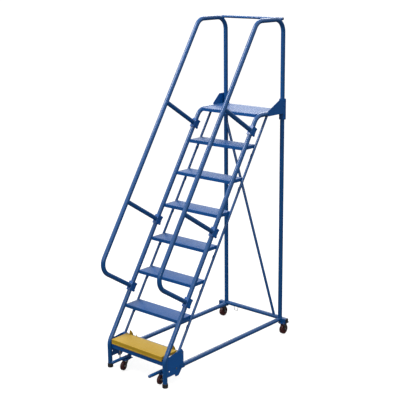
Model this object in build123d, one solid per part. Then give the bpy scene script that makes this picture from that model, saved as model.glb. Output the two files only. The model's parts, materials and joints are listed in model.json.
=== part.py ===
from build123d import *
import os
from math import atan2, cos, radians, sin, tan

# Rolling warehouse ladder: eight rises to a guarded platform, a hinged lock step at the bottom,
# two rigid casters behind, and two swivel casters on a tilting carriage in front.
# Millimetres. +Z is up, +Y is the way a person climbs, X runs across the ladder.
# Everything is drawn with y = 0 at the front feet and moved to the base centre when it is saved.

# ---- overall sizes ----
step_rise = 254.0
step_run = 164.0
step_count = 8
half_width = 313.0              # mid-plane to the stringer centreline
post_y = 1510.0                 # front feet to the rear posts
handrail_height = 758.0         # platform to the handrail centreline
bend_height = 224.0             # where the stringer's leg and slope would meet

# ---- tube and sheet stock ----
tube_r = 19.0
tube_wall = 2.0
thin_r = 11.0
thin_wall = 1.6
brace_r = 12.0
pedal_r = 13.5
bar_r = 12.0
sheet = 2.5
plate = 3.0
weld_gap = 0.15                 # pieces that are welded or bolted together lie this far apart
bolt_r = 4.0
bolt_clearance = 0.25
shaft_clearance = 0.06          # radial, on everything that turns

# ---- bends ----
stringer_bend_r = 105.0
handrail_bend_r = 108.0

# ---- handrails ----
rail_offset = 416.0             # stringer to handrail, square to the slope
clamp_above = {2: 129.0, 4: 129.0, 7: 126.0}  # tread: how far over its top a clamp is centred
clamp_length = 78.0
clamp_tail = 15.0               # flanges behind the stringer
clamp_bolt_pitch = 58.0
crossbar_angle = 54.0           # round the handrail's top rear bend, up from horizontal
crossbar_overhang = 17.0

# ---- treads ----
tread_depth = 163.0
nosing_ahead = 6.37             # each tread's front edge ahead of the stringer centreline
tread_lip = 29.0
tread_fold_r = 4.0
platform_depth = 342.0
platform_lip = 28.0
platform_rail_drop = 13.0       # platform top to the side rail centreline
rear_stringer_setback = 157.0
rear_stringer_low = 218.0

# ---- lock step ----
lock_side_gap = 9.85            # the lock step's ends inside the fixed treads' ends
lock_front_y = -5.0
lock_back_y = 170.0
lock_lip = 41.0
lock_hem = 9.0
lock_ear_x = 240.0
lock_ear_thick = 4.0
lock_ear_top = 288.0
lock_tab_x = 170.0
lock_tab_top = 268.0
hinge_y = 188.0
hinge_z = 240.0
hinge_r = 6.0

# ---- crossmember and side plates ----
crossmember_y = 8.0
crossmember_z = (168.0, 226.0)
crossmember_depth = 26.0
side_plate_out = 14.0           # stringer centreline to the plate's outer face
side_plate_flange = 20.0

# ---- base ----
base_rail_z = 128.0
cross_tube_z = 141.0
tongue_height = 36.0
tongue_y = (160.0, 214.0)
tongue_bolt_y = 177.0
brace_drop = 138.0              # platform to the brace's top end
brace_inset = 64.0              # post to the brace's foot on the cross tube
foot_r = 23.5
foot_height = 35.0
foot_sole = 7.0

# ---- casters ----
rear_wheel_r = 44.5
rear_wheel_width = 30.0
rear_caster_out = 40.0          # post centreline to the caster's middle
front_wheel_r = 37.5
front_wheel_width = 27.0
front_wheel_lift = 3.0          # clear of the floor while the ladder stands on its feet
caster_trail = 31.0
caster_turn = 12.0              # how far the front casters have swung, degrees
axle_r = 5.0
bush_wall = 3.0
fork_sheet = 3.0
fork_side_gap = 1.6
outrigger_reach = 34.0          # rear caster's middle to the outrigger's end

# ---- carriage ----
pivot_y = 120.0
pivot_z = 128.0
pivot_r = 8.0
sleeve_wall = 4.0
caster_pitch = 416.0            # between the two front casters, each with a pedal over it
caster_shift = 26.0             # the pair stands this far right of the mid-plane
caster_y = 50.0
pedal_tip_y = -105.0
pedal_end_y = 76.0
mount_x = (-43.0, 27.0)         # caster mount's edges, from the swivel axis
mount_front = 34.0              # caster mount and top plate ahead of the swivel axis
mount_back_y = 113.0
mount_thick = 3.5
mount_rib = 7.0                 # upright rib from the mount to the sleeve
top_plate_half = 27.0
top_plate_thick = 2.8
mount_bolt_pitch = (20.0, 22.0)
mount_bolt_r = 2.5
link_x = 120.0
link_reach = 28.0               # carriage pivot to the link's lower pin
link_thick = 5.0
link_width = 16.0
link_pin_r = 4.0
open_pin_clearance = 0.8        # at the link's lower pin, the open pivot of the closed linkage
spring_y = 22.0
spring_beside = -34.0           # from the swivel axis, clear of the pedal
spring_r = 7.0
spring_wire_r = 0.9
spring_pitch = 4.0

# ---- worked out from the sizes above ----
slope = atan2(step_rise, step_run)
platform_z = step_rise * step_count
side_rail_z = platform_z - platform_rail_drop
handrail_z = platform_z + handrail_height
inner_x = half_width - tube_r - weld_gap
clamp_heights = [number * step_rise + above for number, above in clamp_above.items()]
lock_half_width = inner_x - lock_side_gap
side_plate_outer = half_width + side_plate_out
rear_caster_x = half_width + rear_caster_out
front_extent = pedal_tip_y
rear_extent = post_y + rear_wheel_r
origin_y = (front_extent + rear_extent) / 2
base_centre = (Align.CENTER, Align.CENTER, Align.MIN)
along = Vector(0, cos(slope), sin(slope))
square_out = Vector(0, -sin(slope), cos(slope))
sleeve_r = pivot_r + shaft_clearance + sleeve_wall
plate_inner = side_plate_outer - plate
caster_x = (caster_shift - caster_pitch / 2, caster_shift + caster_pitch / 2)
fork_crown_low = front_wheel_lift + 2 * front_wheel_r + 2.0
fork_crown_thick = 2.5
race_low = fork_crown_low + fork_crown_thick
race_gap = 2.5
top_plate_low = race_low + race_gap
mount_low = top_plate_low + top_plate_thick + weld_gap
mount_top = mount_low + mount_thick
pedal_z = mount_top + weld_gap + pedal_r


def slope_y(z):
    """Y of the stringer centreline at a height."""
    return (z - bend_height) / tan(slope)


thin_centre_x = inner_x + weld_gap + thin_r
rear_seat_z = rear_stringer_low + 26.0
rear_seat_y = slope_y(rear_seat_z) + rear_stringer_setback


def tread_front(number):
    return slope_y(number * step_rise) - nosing_ahead


def on_stringer(z, x=0.0):
    return Vector(x, slope_y(z), z)


def save(name, *solids):
    """Write one node, moved so that the origin is the centre of the base."""
    group = [s for shape in solids for s in shape.solids()]
    whole = group[0] if len(group) == 1 else Compound(children=group)
    whole = whole.moved(Location((0, -origin_y, 0)))
    whole.label = name
    export_step(whole, f"parts/{name}.step")


def rod(start, end, radius):
    start = Vector(*start) if isinstance(start, tuple) else start
    end = Vector(*end) if isinstance(end, tuple) else end
    run = end - start
    return Plane(start, z_dir=run) * Cylinder(radius, run.length, align=base_centre)


def pipe(start, end, radius, wall):
    return rod(start, end, radius) - rod(start, end, radius - wall)


def bent_path(x, points, radius):
    """A line through (y, z) points with rounded corners, at one x."""
    return Plane.YZ.offset(x) * FilletPolyline(*points, radius=radius)


def swept(path, radius):
    return sweep(Plane(path @ 0, z_dir=path % 0) * Circle(radius), path=path)


def bent_tube(path, radius, wall):
    return swept(path, radius) - swept(path, radius - wall)


def across(x, y, z, radius):
    """A rod along X between two x values."""
    return rod((x[0], y, z), (x[1], y, z), radius)


def block(x, y, z):
    """A box between its low and high values on each axis."""
    size = (x[1] - x[0], y[1] - y[0], z[1] - z[0])
    middle = ((x[0] + x[1]) / 2, (y[0] + y[1]) / 2, (z[0] + z[1]) / 2)
    return Pos(*middle) * Box(*size)


def side_sheet(points, x0, x1):
    """A flat plate with a (y, z) outline, from x0 to x1."""
    outline = make_face(Polyline(*points, close=True))
    return extrude(Plane.YZ.offset(min(x0, x1)) * outline, amount=abs(x1 - x0))


def hexagon(across, thickness, radius=0.0):
    head = extrude(RegularPolygon(across / 2, 6, major_radius=False), amount=thickness)
    edges = head.faces().sort_by(Axis.Z)[-1].edges()
    head = chamfer(edges, thickness * 0.12)
    if radius:
        head -= Cylinder(radius, thickness * 3)
    return head


def bolt(start, direction, grip, radius=bolt_r):
    """A hex bolt: its head sits before start, its shank runs along direction."""
    place = Plane(Vector(*start), z_dir=Vector(*direction))
    shank = Cylinder(radius, grip + radius * 2.6, align=base_centre)
    washer = Pos(0, 0, -1.5) * extrude(Circle(radius * 2.1), amount=1.5)
    head = Pos(0, 0, -1.5) * Rot(180, 0, 0) * hexagon(radius * 3.25, radius * 1.3)
    return place * (shank + washer + head)


def nut(start, direction, radius=bolt_r):
    """A nut and washer on a bolt's far side: its seat is at start."""
    place = Plane(Vector(*start), z_dir=Vector(*direction))
    washer = extrude(Circle(radius * 2.1), amount=1.5) - Cylinder(radius + 0.05, 10)
    return place * (washer + Pos(0, 0, 1.5) * hexagon(radius * 3.25, radius * 1.6, radius + 0.05))


def folded_tread(half, y, top, lip, rear_lip, side_lip):
    """A sheet tread: a flat top with all four edges folded down."""
    outer = block((-half, half), y, (top - lip, top))
    upper = outer.faces().sort_by(Axis.Z)[-1].edges()
    outer = fillet(upper + outer.edges().filter_by(Axis.Z), tread_fold_r)
    inner = block((-half + sheet, half - sheet), (y[0] + sheet, y[1] - sheet), (top - lip - 1, top - sheet))
    inner = fillet(inner.edges().filter_by(Axis.Z), tread_fold_r - sheet)
    tread = outer - inner
    if rear_lip < lip:
        rear_wall = (y[1] - sheet - 0.01, y[1] + 1)
        tread -= block((-half - 1, half + 1), rear_wall, (top - lip - 1, top - rear_lip))
    if side_lip < lip:
        rear_part = (y[0] + tread_fold_r, y[1] + 1)
        tread -= block((-half - 1, -half + sheet + 0.01), rear_part, (top - lip - 1, top - side_lip))
        tread -= block((half - sheet - 0.01, half + 1), rear_part, (top - lip - 1, top - side_lip))
    return tread


# ---- stringers: foot, leg, slope and platform side rail in one bent tube ----
def stringer_path(x):
    corner_y = slope_y(side_rail_z)
    points = [(0, foot_sole + weld_gap), (0, bend_height), (corner_y, side_rail_z), (post_y, side_rail_z)]
    return bent_path(x, points, stringer_bend_r)


def stringer(x):
    post = rod((x, post_y, side_rail_z - 60), (x, post_y, side_rail_z + 60), tube_r + weld_gap)
    beyond = block((x - 30, x + 30), (post_y, post_y + 40), (side_rail_z - 30, side_rail_z + 30))
    return bent_tube(stringer_path(x), tube_r, tube_wall) - post - beyond


def rear_stringer_ends(x):
    top_z = platform_z - sheet - weld_gap + 30
    low = Vector(x, slope_y(rear_stringer_low) + rear_stringer_setback, rear_stringer_low)
    return low, Vector(x, slope_y(top_z) + rear_stringer_setback, top_z)


def rear_stringer(x):
    low, high = rear_stringer_ends(x)
    top_z = high.Z - 30
    tube = pipe(low, high, thin_r, thin_wall)
    tube -= block((x - 40, x + 40), (low.Y, high.Y + 60), (top_z, top_z + 90))
    rail_x = half_width if x > 0 else -half_width
    rail = rod((rail_x, high.Y - 90, side_rail_z), (rail_x, high.Y + 60, side_rail_z), tube_r + weld_gap)
    return (tube - rail).solids().sort_by(SortBy.VOLUME)[-1]


# ---- handrails ----
def rail_points():
    """(y, z) corners of the handrail, from its lower clamp round to the top of the rear post."""
    foot = on_stringer(clamp_heights[0])
    start = foot + square_out * (tube_r + weld_gap + plate)
    low_corner = foot + square_out * rail_offset
    top_y = low_corner.Y + (handrail_z - low_corner.Z) / tan(slope)
    return [
        (start.Y, start.Z),
        (low_corner.Y, low_corner.Z),
        (top_y, handrail_z),
        (post_y, handrail_z),
        (post_y, platform_z + 4),
    ]


def handrail(x):
    return bent_tube(bent_path(x, rail_points(), handrail_bend_r), tube_r, tube_wall)


def rail_stub(x, height):
    foot = on_stringer(height, x)
    start = foot + square_out * (tube_r + weld_gap + plate)
    end = foot + square_out * rail_offset
    rail = rod(end - along * 60, end + along * 60, tube_r + weld_gap)
    return (pipe(start, end, tube_r, tube_wall) - rail).solids().sort_by(SortBy.VOLUME)[-1]


def clamp_place(x, height):
    """Local X across, local Y up the slope, local Z out from the stringer."""
    return Plane(on_stringer(height, x), x_dir=(1, 0, 0), z_dir=square_out)


def rail_clamp(x, height):
    inside = tube_r + weld_gap
    outside = inside + plate
    back = -(tube_r + clamp_tail)
    saddle = Pos(0, 0, (outside + back) / 2) * Box(2 * outside, clamp_length, outside - back)
    saddle = fillet(saddle.faces().sort_by(Axis.Z)[-1].edges().filter_by(Axis.Y), 3.0)
    saddle -= Pos(0, 0, (inside + back - 5) / 2) * Box(2 * inside, clamp_length + 2, inside - back + 5)
    for side in (-1, 1):
        hole = Rot(0, 90, 0) * Cylinder(bolt_r + bolt_clearance, 4 * outside)
        saddle -= Pos(0, side * clamp_bolt_pitch / 2, -(tube_r + bolt_r + 2.5)) * hole
    return clamp_place(x, height) * saddle


def clamp_bolt_points(x, height):
    for side in (-1, 1):
        depth = tube_r + bolt_r + 2.5
        yield on_stringer(height, x) + along * (side * clamp_bolt_pitch / 2) - square_out * depth


def cross_bolt(x, y, z):
    """A bolt along X with its nut, clamping sheet on both sides of a tube at x."""
    out = 1 if x > 0 else -1
    reach = tube_r + weld_gap + plate + 0.05
    inward = (-out, 0, 0)
    return [bolt((x + out * reach, y, z), inward, 2 * reach), nut((x - out * reach, y, z), inward)]


def clamp_fasteners(x):
    pieces = []
    for height in clamp_heights:
        for centre in clamp_bolt_points(x, height):
            pieces += cross_bolt(x, centre.Y, centre.Z)
    return pieces


def top_crossbar():
    centre_y = post_y - handrail_bend_r
    centre_z = handrail_z - handrail_bend_r
    reach = handrail_bend_r + tube_r + bar_r - 0.8
    y = centre_y + reach * cos(radians(crossbar_angle))
    z = centre_z + reach * sin(radians(crossbar_angle))
    end = half_width + crossbar_overhang
    bar = pipe((-end, y, z), (end, y, z), bar_r, tube_wall)
    for x in (-half_width, half_width):
        bar -= swept(bent_path(x, rail_points(), handrail_bend_r), tube_r + weld_gap)
    return bar.solids().sort_by(SortBy.VOLUME)[-1]


# ---- treads and platform ----
def tread(number):
    front = tread_front(number)
    depth = (front, front + tread_depth)
    return folded_tread(inner_x, depth, number * step_rise, tread_lip, tread_lip, tread_lip)


def platform():
    front = tread_front(step_count)
    depth = (front, front + platform_depth)
    return folded_tread(inner_x, depth, platform_z, platform_lip, platform_lip, platform_lip)


# ---- platform brackets: a gusset and a channel round the joint of post and handrail ----
bracket_reach = {1: 221.0, -1: 150.0}       # gusset ahead of the post, right and left
bracket_low = platform_z - 88.0
bracket_high = platform_z + 91.0
bracket_bolt_z = [bracket_low + 11, bracket_low + 40, platform_z + 32, platform_z + 78]


def platform_bracket(x):
    out = 1 if x > 0 else -1
    near = tube_r + weld_gap
    rear = post_y + near + plate
    front = post_y - near
    reach = bracket_reach[out]
    outline = [
        (front, bracket_low),
        (rear, bracket_low),
        (rear, bracket_high),
        (post_y - 67, bracket_high),
        (post_y - reach, side_rail_z + 27.5),
        (post_y - reach, side_rail_z - tube_r),
        (front, side_rail_z - tube_r),
    ]
    outer = side_sheet(outline, x + out * near, x + out * (near + plate))
    back_x = sorted((x - out * (near + plate), x + out * (near + plate)))
    back = block(back_x, (rear - plate, rear), (bracket_low, bracket_high))
    inner_xs = sorted((x - out * near, x - out * (near + plate)))
    lower = block(inner_xs, (front + 2, rear), (bracket_low, side_rail_z - tube_r - 3))
    upper = block(inner_xs, (front + 2, rear), (platform_z + 4, bracket_high))
    bracket = outer + back + lower + upper
    for z in bracket_bolt_z:
        bracket -= rod((x - 40, post_y, z), (x + 40, post_y, z), bolt_r + bolt_clearance)
    return bracket


def bracket_fasteners(x):
    return [piece for z in bracket_bolt_z for piece in cross_bolt(x, post_y, z)]


def tongue_fasteners(x):
    out = 1 if x > 0 else -1
    seat = side_plate_outer + weld_gap + plate + 0.05
    head = bolt((out * seat, tongue_bolt_y, base_rail_z), (-out, 0, 0), seat - plate_inner)
    return [head, nut((out * (plate_inner - 0.05), tongue_bolt_y, base_rail_z), (-out, 0, 0))]


def drill_post(tube, x):
    for z in bracket_bolt_z:
        tube -= rod((x - 40, post_y, z), (x + 40, post_y, z), bolt_r + bolt_clearance)
    return tube


# ---- rear frame ----
pad_top = base_rail_z - tube_r


def rear_post(x):
    tube = pipe((x, post_y, pad_top + weld_gap), (x, post_y, platform_z + 3), tube_r, tube_wall)
    return drill_post(tube, x)


def rear_cross_tube():
    z = cross_tube_z
    tube = pipe((-half_width, post_y, z), (half_width, post_y, z), tube_r, tube_wall)
    for x in (-half_width, half_width):
        tube -= rod((x, post_y, z - 40), (x, post_y, z + 40), tube_r + weld_gap)
        tube -= rod((x, post_y - 60, base_rail_z), (x, post_y, base_rail_z), tube_r + weld_gap)
    return tube.solids().sort_by(SortBy.VOLUME)[-1]


def rear_brace():
    """The diagonal from the left post, high up, down to the right of the cross tube."""
    top = Vector(-half_width, post_y, platform_z - brace_drop)
    foot = Vector(half_width - brace_inset, post_y, cross_tube_z)
    tube = pipe(top, foot, brace_r, thin_wall)
    tube -= rod((-half_width, post_y, top.Z - 120), (-half_width, post_y, top.Z + 60), tube_r + weld_gap)
    tube -= rod((foot.X - 90, post_y, foot.Z), (foot.X + 60, post_y, foot.Z), tube_r + weld_gap)
    return tube.solids().sort_by(SortBy.VOLUME)[-1]


def tie_loop():
    """A bent wire eye under the rear cross tube."""
    z = cross_tube_z - tube_r + 0.4
    wire = FilletPolyline((-222, z), (-217, z - 36), (-179, z - 36), (-174, z), radius=11)
    path = Plane((0, post_y, 0), x_dir=(1, 0, 0), z_dir=(0, -1, 0)) * wire
    eye = swept(path, 2.5)
    return eye - rod((-300, post_y, cross_tube_z), (-100, post_y, cross_tube_z), tube_r + weld_gap)


# ---- base rails, with a flat tongue bolted to each side plate ----
def base_rail(x):
    out = 1 if x > 0 else -1
    z = base_rail_z
    rail = pipe((x, tongue_y[1] - 8, z), (x, post_y, z), tube_r, tube_wall)
    rail -= rod((x, post_y, z - 40), (x, post_y, z + 40), tube_r + weld_gap)
    rail = rail.solids().sort_by(SortBy.VOLUME)[-1]
    near = side_plate_outer + weld_gap
    xs = sorted((out * near, out * (near + plate)))
    low = z - tongue_height / 2
    tongue = block(xs, tongue_y, (low, low + tongue_height))
    tongue = fillet(tongue.edges().filter_by(Axis.X).group_by(Axis.Y)[0], 8)
    tongue -= rod((0, tongue_bolt_y, z), (out * 400, tongue_bolt_y, z), bolt_r + bolt_clearance)
    web_x = sorted((x, out * (near + plate)))
    end_y = side_plate_rear(z + tube_r) + weld_gap
    web = block(web_x, (end_y, tongue_y[1]), (z - tube_r + 1, z + tube_r - 1))
    inner = block(sorted((x - out * 60, x + out * 8)), (end_y, tongue_y[1] - 3), (z - 40, z + 40))
    return rail + (web - inner) + tongue


# ---- side plates ----
plate_below = [(205, 244), (203, 133), (143, 61), (108, 61), (98, 83), (14, 83)]
right_plate_outline = [(9, 243), (143, 268), (188, 272), *plate_below]
left_plate_outline = [(9, 236), (143, 251), (196, 252), *plate_below]


hanging_hole = (37.0, 127.0)
hanging_hole_r = 6.0


def side_plate_rear(z):
    """Y of the side plate's rear edge at a height on its upright stretch."""
    (y_top, z_top), (y_low, z_low) = plate_below[0], plate_below[1]
    return y_low + (y_top - y_low) * (z - z_low) / (z_top - z_low)


def side_plate(x):
    out = 1 if x > 0 else -1
    outline = right_plate_outline if out > 0 else left_plate_outline
    outer = side_sheet(outline, out * plate_inner, out * side_plate_outer)
    rear = [(205, 240), (205 - plate, 240), (203 - plate, 139), (203, 139)]
    flange = side_sheet(rear, out * plate_inner, out * (plate_inner - side_plate_flange))
    seat = thin_centre_x + thin_r * 0.3
    boss = across((out * seat, out * plate_inner), rear_seat_y, rear_seat_z, thin_r + 1.5)
    low, high = rear_stringer_ends(out * thin_centre_x)
    boss -= rod(low - along * 40, high, thin_r + weld_gap)
    sheet_metal = outer + flange + boss
    sheet_metal -= swept(stringer_path(x), tube_r + weld_gap)
    holes = [
        (*hanging_hole, hanging_hole_r),
        (pivot_y, pivot_z, pivot_r + weld_gap),
        (hinge_y, hinge_z, hinge_r + weld_gap),
        (tongue_bolt_y, base_rail_z, bolt_r + bolt_clearance),
    ]
    for y, z, radius in holes:
        sheet_metal -= across((0, out * 400), y, z, radius)
    return sheet_metal


def crossmember():
    """A channel behind the legs that carries the lock step's bumpers."""
    low, high = crossmember_z
    back = crossmember_y + crossmember_depth
    end = plate_inner - weld_gap
    channel = block((-end, end), (crossmember_y, back), (low, high))
    channel = fillet(channel.edges().filter_by(Axis.X).group_by(Axis.Y)[0], 3.5)
    channel -= block((-end - 1, end + 1), (crossmember_y + plate, back + 1), (low + plate, high - plate))
    for x in (-half_width, half_width):
        channel -= swept(stringer_path(x), tube_r + weld_gap)
    return channel.solids().sort_by(SortBy.VOLUME)[-1]


def rubber_foot(x):
    foot = Cylinder(foot_r, foot_height, align=base_centre)
    foot = fillet(foot.faces().sort_by(Axis.Z)[-1].edges(), 4)
    foot = chamfer(foot.faces().sort_by(Axis.Z)[0].edges(), 2)
    pocket = Pos(0, 0, foot_sole) * Cylinder(tube_r + weld_gap, foot_height, align=base_centre)
    return Pos(x, 0, 0) * (foot - pocket)


# ---- lock step, hinged at the back ----
bumper_x = 200.0
bumper_height = step_rise - sheet - crossmember_z[1]


def step_bumper(x):
    bumper = Cylinder(9, bumper_height - 2 * weld_gap, align=base_centre)
    return Pos(x, crossmember_y + crossmember_depth / 2, crossmember_z[1] + weld_gap) * bumper


def lock_step():
    pan = folded_tread(lock_half_width, (lock_front_y, lock_back_y), step_rise, lock_lip, 24, 24)
    hem_y = (lock_front_y - 2, lock_front_y + sheet)
    half = lock_half_width - tread_fold_r
    hem = block((-half, half), hem_y, (step_rise - lock_lip, step_rise - lock_lip + lock_hem))
    pan += fillet(hem.edges().filter_by(Axis.X).group_by(Axis.Y)[0], 1.9)
    for x in (-lock_ear_x, lock_ear_x):
        pan += lock_ear(x)
    tab = [(lock_back_y - sheet, step_rise - 20), (lock_back_y + 6, step_rise - 20),
           (lock_back_y + 6, lock_tab_top), (lock_back_y + 1, lock_tab_top)]
    pan += side_sheet(tab, -lock_tab_x - 2, -lock_tab_x + 2)
    for x in (-link_x, link_x):
        pan += link_lug(x)
    return pan


def lock_ear(x):
    """An upturned ear with an eye round the hinge rod."""
    outline = [
        (lock_back_y - 14, step_rise - 24),
        (hinge_y + 4, hinge_z - 13),
        (hinge_y + 13, hinge_z - 4),
        (hinge_y + 13, hinge_z + 10),
        (lock_back_y + 6, lock_ear_top),
        (lock_back_y - 2, lock_ear_top),
        (lock_back_y - 14, step_rise - 1),
    ]
    ear = side_sheet(outline, x - lock_ear_thick / 2, x + lock_ear_thick / 2)
    return ear - rod((x - 20, hinge_y, hinge_z), (x + 20, hinge_y, hinge_z), hinge_r + shaft_clearance)


link_top_y = pivot_y + link_reach
link_top_z = hinge_z - 14.0
link_low_z = pivot_z


def link_lug(x):
    """A lug under the step that the link's upper pin goes through."""
    out = 1 if x > 0 else -1
    near = x + out * (link_thick / 2 + 1.0)
    outline = [(link_top_y - 10, step_rise - 1), (link_top_y + 10, step_rise - 1),
               (link_top_y + 10, link_top_z - 9), (link_top_y - 10, link_top_z - 9)]
    lug = side_sheet(outline, near, near + out * 4)
    return lug - across((x - 30, x + 30), link_top_y, link_top_z, link_pin_r + weld_gap)


def link_top_pin(x):
    out = 1 if x > 0 else -1
    near = x - out * (link_thick / 2 + 1.0)
    far = x + out * (link_thick / 2 + 5.5)
    shank = rod((near, link_top_y, link_top_z), (far, link_top_y, link_top_z), link_pin_r)
    head = rod((near - out * 2, link_top_y, link_top_z), (near, link_top_y, link_top_z), link_pin_r + 2.5)
    tail = rod((far, link_top_y, link_top_z), (far + out * 2, link_top_y, link_top_z), link_pin_r + 2)
    return shank + head + tail


def step_link(x):
    """A flat link between the step's lug and the carriage's arm."""
    half = link_width / 2
    low_y = pivot_y + link_reach
    bar = side_sheet([(link_top_y - half, link_top_z), (link_top_y + half, link_top_z),
                      (low_y + half, link_low_z), (low_y - half, link_low_z)],
                     x - link_thick / 2, x + link_thick / 2)
    for y, z in ((link_top_y, link_top_z), (low_y, link_low_z)):
        bar += rod((x - link_thick / 2, y, z), (x + link_thick / 2, y, z), half)
    bar -= across((x - 20, x + 20), link_top_y, link_top_z, link_pin_r + shaft_clearance)
    return bar - across((x - 20, x + 20), low_y, link_low_z, link_pin_r + open_pin_clearance)


def hinge_rod():
    return rod((-side_plate_outer, hinge_y, hinge_z), (side_plate_outer, hinge_y, hinge_z), hinge_r)


# ---- carriage: sleeve on the pivot shaft, pedals, caster mounts and link arms ----
def pivot_shaft():
    return rod((-side_plate_outer, pivot_y, pivot_z), (side_plate_outer, pivot_y, pivot_z), pivot_r)


sleeve_end = plate_inner - 0.6


def carriage_sleeve():
    sleeve = rod((-sleeve_end, pivot_y, pivot_z), (sleeve_end, pivot_y, pivot_z), sleeve_r)
    return sleeve - rod((-400, pivot_y, pivot_z), (400, pivot_y, pivot_z), pivot_r + shaft_clearance)


def sleeve_cut(clearance=weld_gap):
    return rod((-400, pivot_y, pivot_z), (400, pivot_y, pivot_z), sleeve_r + clearance)


def release_pedal(x):
    """A tube with a domed tip, lying along the top of the caster mount."""
    tip = Vector(x, pedal_tip_y + pedal_r, pedal_z)
    end = Vector(x, pedal_end_y, pedal_z)
    outer = rod(tip, end, pedal_r) + Pos(tip.X, tip.Y, tip.Z) * Sphere(pedal_r)
    inner_r = pedal_r - tube_wall
    return outer - rod(tip, end, inner_r) - Pos(tip.X, tip.Y, tip.Z) * Sphere(inner_r)


def caster_mount(x):
    """A plate over the swivel caster, with an upright rib up to the sleeve."""
    depth = (caster_y - mount_front, mount_back_y)
    mount = block((x + mount_x[0], x + mount_x[1]), depth, (mount_low, mount_top))
    mount = fillet(mount.edges().filter_by(Axis.Z).group_by(Axis.Y)[0], 8)
    rib_front = pedal_end_y + weld_gap
    outline = [(rib_front, mount_top - 1), (mount_back_y, mount_top - 1), (pivot_y + 6, pivot_z - 8),
               (pivot_y, pivot_z), (pivot_y - 8, pivot_z + 6), (rib_front, mount_top + 2 * pedal_r)]
    mount += side_sheet(outline, x - mount_rib / 2, x + mount_rib / 2)
    mount -= sleeve_cut()
    mount = mount.solids().sort_by(SortBy.VOLUME)[-1]
    return mount - mount_holes(x)


def mount_bolt_places(x):
    across, back = mount_bolt_pitch
    return [(x + sx * across, caster_y + sy * back) for sx in (-1, 1) for sy in (-1, 1)]


def mount_holes(x):
    radius = mount_bolt_r + bolt_clearance
    holes = [rod((*at, mount_low - 20), (*at, mount_top + 20), radius) for at in mount_bolt_places(x)]
    return holes[0] + holes[1] + holes[2] + holes[3]


def mount_bolts(x):
    """Bolts through the mount and the caster's top plate, with their nuts below."""
    under = top_plate_low - 0.05
    pieces = []
    for at in mount_bolt_places(x):
        place = Pos(at[0], at[1], 0)
        shank = rod((*at, under - 3.5), (*at, mount_top), mount_bolt_r)
        head = Pos(0, 0, mount_top + 0.05) * hexagon(8.0, 3.0)
        pieces.append(shank + place * head)
        pieces.append(place * Pos(0, 0, under) * Rot(180, 0, 0) * hexagon(8.0, 2.4, mount_bolt_r + 0.05))
    return pieces


arm_half = 9.0
arm_thick = 6.0


def link_arm(x):
    """The carriage's arm behind the pivot, with the link's lower pin."""
    out = 1 if x > 0 else -1
    near = x + out * (link_thick / 2 + 1.0)
    low_y = pivot_y + link_reach
    high, low = pivot_z + arm_half, pivot_z - arm_half
    outline = [(pivot_y, high), (low_y, high), (low_y, low), (pivot_y, low)]
    arm = side_sheet(outline, near, near + out * arm_thick)
    arm += across((near, near + out * arm_thick), low_y, pivot_z, arm_half)
    arm -= sleeve_cut()
    arm = arm.solids().sort_by(SortBy.VOLUME)[-1]
    tip = x - out * (link_thick / 2 + 1.0)
    pin = rod((near + out * 3, low_y, link_low_z), (tip, low_y, link_low_z), link_pin_r)
    cap = rod((tip, low_y, link_low_z), (tip - out * 2, low_y, link_low_z), link_pin_r + 3)
    return arm + pin + cap


# ---- casters ----
def wheel(radius, width):
    """A moulded wheel about the X axis at the origin: tread, dished web and hub."""
    half = width / 2
    bore = axle_r + shaft_clearance + bush_wall + weld_gap
    hub = bore + 4.5
    rim = radius * 0.74
    outline = [
        (bore, -half - 1.5),
        (hub, -half - 1.5),
        (hub + 1.5, -half + 5),
        (rim - 1.5, -half + 5),
        (rim, -half + 0.5),
        (radius - 3, -half),
        (radius, -half + 3),
        (radius, half - 3),
        (radius - 3, half),
        (rim, half - 0.5),
        (rim - 1.5, half - 5),
        (hub + 1.5, half - 5),
        (hub, half + 1.5),
        (bore, half + 1.5),
    ]
    face = make_face(Polyline(*[(along_axis, out) for out, along_axis in outline], close=True))
    return revolve(face, Axis.X)


def wheel_bush(width):
    half = width / 2 + 1.6
    inner = axle_r + shaft_clearance
    ring = Cylinder(inner + bush_wall, 2 * half) - Cylinder(inner, 2 * half + 2)
    return Rot(0, 90, 0) * ring


def fork(width, crown_low, crown_half_y, trail, sole_half, crown_thick):
    """Two legs and a crown about the wheel at the origin; the crown is trail behind it on +Y."""
    inside = width / 2 + 1.6 + fork_side_gap
    legs = []
    for side in (-1, 1):
        outline = [
            (-11, 0),
            (-9, 8),
            (trail - crown_half_y, crown_low),
            (trail + crown_half_y, crown_low),
            (trail + crown_half_y, crown_low - 4),
            (11, -4),
        ]
        leg = side_sheet(outline, side * inside, side * (inside + fork_sheet))
        leg += rod((side * inside, 0, 0), (side * (inside + fork_sheet), 0, 0), 11.0)
        leg -= rod((-60, 0, 0), (60, 0, 0), axle_r + weld_gap)
        legs.append(leg)
    half = inside + fork_sheet
    crown = block((-half, half), (trail - sole_half, trail + sole_half), (crown_low, crown_low + crown_thick))
    crown = fillet(crown.edges().filter_by(Axis.Z), 5)
    return crown + legs[0] + legs[1]


def axle_set(width):
    """An axle bolt through both legs, and its nut."""
    out = width / 2 + 1.6 + fork_side_gap + fork_sheet + 0.05
    shank = rod((-out, 0, 0), (out + 9, 0, 0), axle_r)
    head = Plane((-out, 0, 0), z_dir=(-1, 0, 0)) * hexagon(15.5, 5.5)
    return [shank + head, Plane((out, 0, 0), z_dir=(1, 0, 0)) * hexagon(15.5, 7.0, axle_r + 0.05)]


# ---- rear casters: rigid, bolted to pads outside the posts ----
pad_thick = 4.0
pad_half = (33.0, 40.0)
pad_low = pad_top - pad_thick
rear_plate_low = pad_low - weld_gap - fork_sheet
pad_bolt = (22.0, 30.0)


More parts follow.
